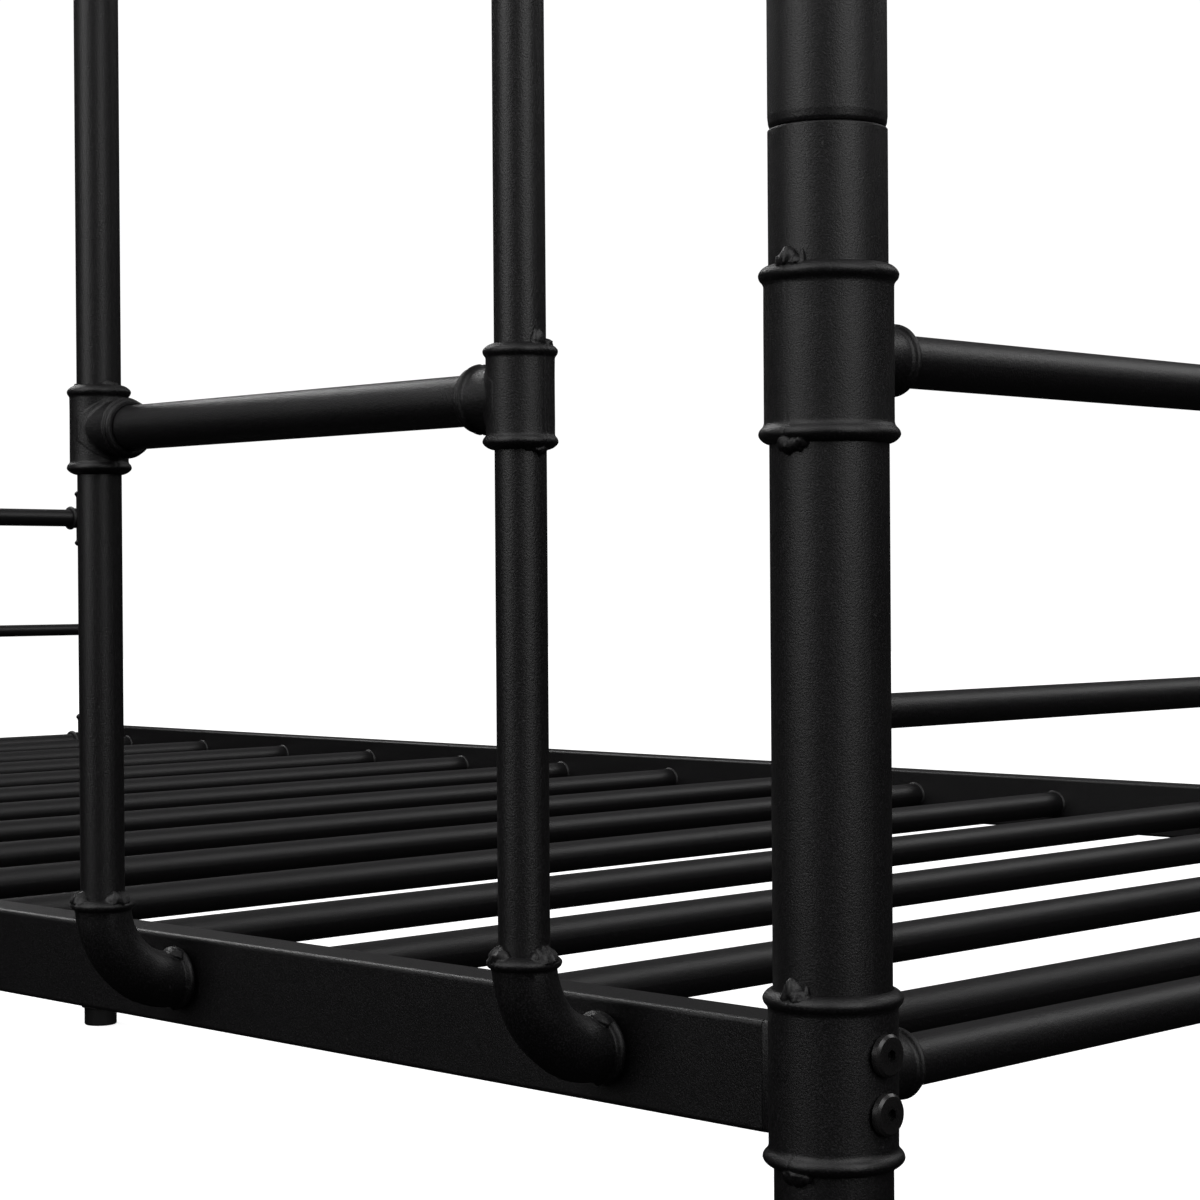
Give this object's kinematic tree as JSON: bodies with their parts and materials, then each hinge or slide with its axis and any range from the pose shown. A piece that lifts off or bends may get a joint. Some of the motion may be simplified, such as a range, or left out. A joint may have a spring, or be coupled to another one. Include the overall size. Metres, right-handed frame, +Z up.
{
  "type": "bunk bed",
  "caption": "Black steel-tube bunk bed, one twin bed above another, with beaded pipe-style fittings, guard rails and a fixed upright ladder.",
  "frame": {"origin": "on the floor, in the middle of the whole footprint with the ladder, so halfway between the ends and between the ladder's fittings and the back posts' fittings", "axes": "+X along the bed towards the ladder end (the right end, seen from the front), +Y from the ladder side to the back, +Z up"},
  "size_m": [1.987, 1.1166, 1.652],
  "materials": {
    "black_powder_coat": "satin, fine-grained powder coat",
    "black_bolt": "black-oxide satin",
    "zinc_plated_steel": "bright zinc plate",
    "moulded_plastic": "fine moulded texture"
  },
  "bodies": {
    "root": {"foot_glides": "moulded_plastic", "lower_post_front_left": "black_powder_coat", "lower_post_front_right": "black_powder_coat", "lower_post_back_left": "black_powder_coat", "lower_post_back_right": "black_powder_coat", "lower_front_rail": "black_powder_coat", "lower_back_rail": "black_powder_coat", "lower_slats": "black_powder_coat", "lower_left_bottom_tube": "black_powder_coat", "lower_left_thin_tube": "black_powder_coat", "lower_left_top_tube": "black_powder_coat", "lower_right_bottom_tube": "black_powder_coat", "lower_right_thin_tube": "black_powder_coat", "lower_right_top_tube": "black_powder_coat", "lower_rail_tees": "black_powder_coat", "lower_top_tees": "black_powder_coat", "post_joiners": "zinc_plated_steel", "upper_post_front_left": "black_powder_coat", "upper_post_front_right": "black_powder_coat", "upper_post_back_left": "black_powder_coat", "upper_post_back_right": "black_powder_coat", "upper_front_rail": "black_powder_coat", "upper_back_rail": "black_powder_coat", "upper_slats": "black_powder_coat", "upper_left_bottom_tube": "black_powder_coat", "upper_left_thin_tube": "black_powder_coat", "upper_left_top_tube": "black_powder_coat", "upper_right_bottom_tube": "black_powder_coat", "upper_right_thin_tube": "black_powder_coat", "upper_right_top_tube": "black_powder_coat", "upper_rail_tees": "black_powder_coat", "upper_top_tees": "black_powder_coat", "post_caps": "moulded_plastic", "rail_end_plates": "zinc_plated_steel", "post_bolts": "black_bolt", "ladder_left_upright": "black_powder_coat", "ladder_right_upright": "black_powder_coat", "ladder_rung_1": "black_powder_coat", "ladder_rung_2": "black_powder_coat", "ladder_rung_3": "black_powder_coat", "ladder_tees": "black_powder_coat", "ladder_lower_elbows": "black_powder_coat", "ladder_upper_elbows": "black_powder_coat", "ladder_inserts": "zinc_plated_steel", "ladder_bolts": "black_bolt", "guard_front_top_tube": "black_powder_coat", "guard_front_uprights": "black_powder_coat", "guard_front_thin_tubes": "black_powder_coat", "guard_back_top_tube": "black_powder_coat", "guard_back_uprights": "black_powder_coat", "guard_back_thin_tubes": "black_powder_coat", "guard_tees": "black_powder_coat", "guard_elbow": "black_powder_coat", "guard_sockets": "black_powder_coat", "guard_inserts": "zinc_plated_steel", "guard_bolts": "black_bolt", "guard_end_inserts": "zinc_plated_steel"}
  },
  "joints": []
}
